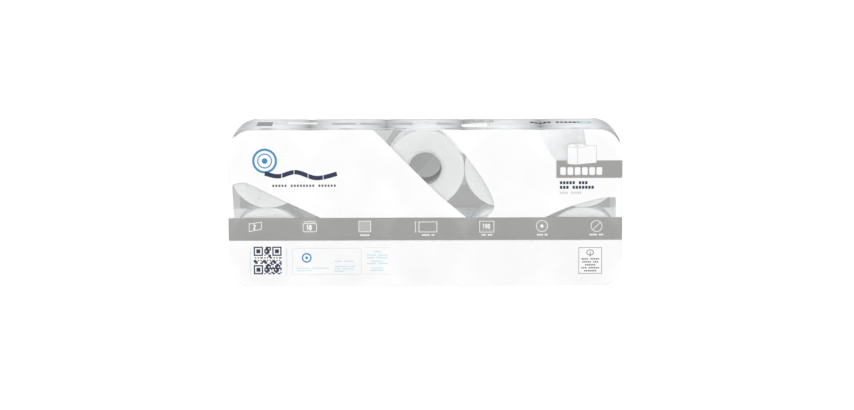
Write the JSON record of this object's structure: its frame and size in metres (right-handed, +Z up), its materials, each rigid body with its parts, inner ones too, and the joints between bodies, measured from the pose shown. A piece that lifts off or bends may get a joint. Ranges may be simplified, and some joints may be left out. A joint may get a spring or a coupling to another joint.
{
  "type": "toilet paper roll pack",
  "caption": "Film-wrapped pack of toilet paper rolls in two rows, with printed panels and clear windows that show the rolls and their cores.",
  "frame": {"origin": "middle of the base, on the surface that the pack stands on", "axes": "+X along the pack, to the right seen from the front; +Y from the front panel to the back panel, along the rolls' axes; +Z up"},
  "size_m": [0.5012, 0.0968, 0.2065],
  "materials": {
    "printed_film": "glossy clear film, printed white and grey",
    "tissue_paper": "soft matt tissue",
    "core_card": "matt grey card"
  },
  "bodies": {
    "root": {"film_wrap": "printed_film", "rolls_top": "tissue_paper", "rolls_bottom": "tissue_paper", "cores_top": "core_card", "cores_bottom": "core_card"}
  },
  "joints": []
}
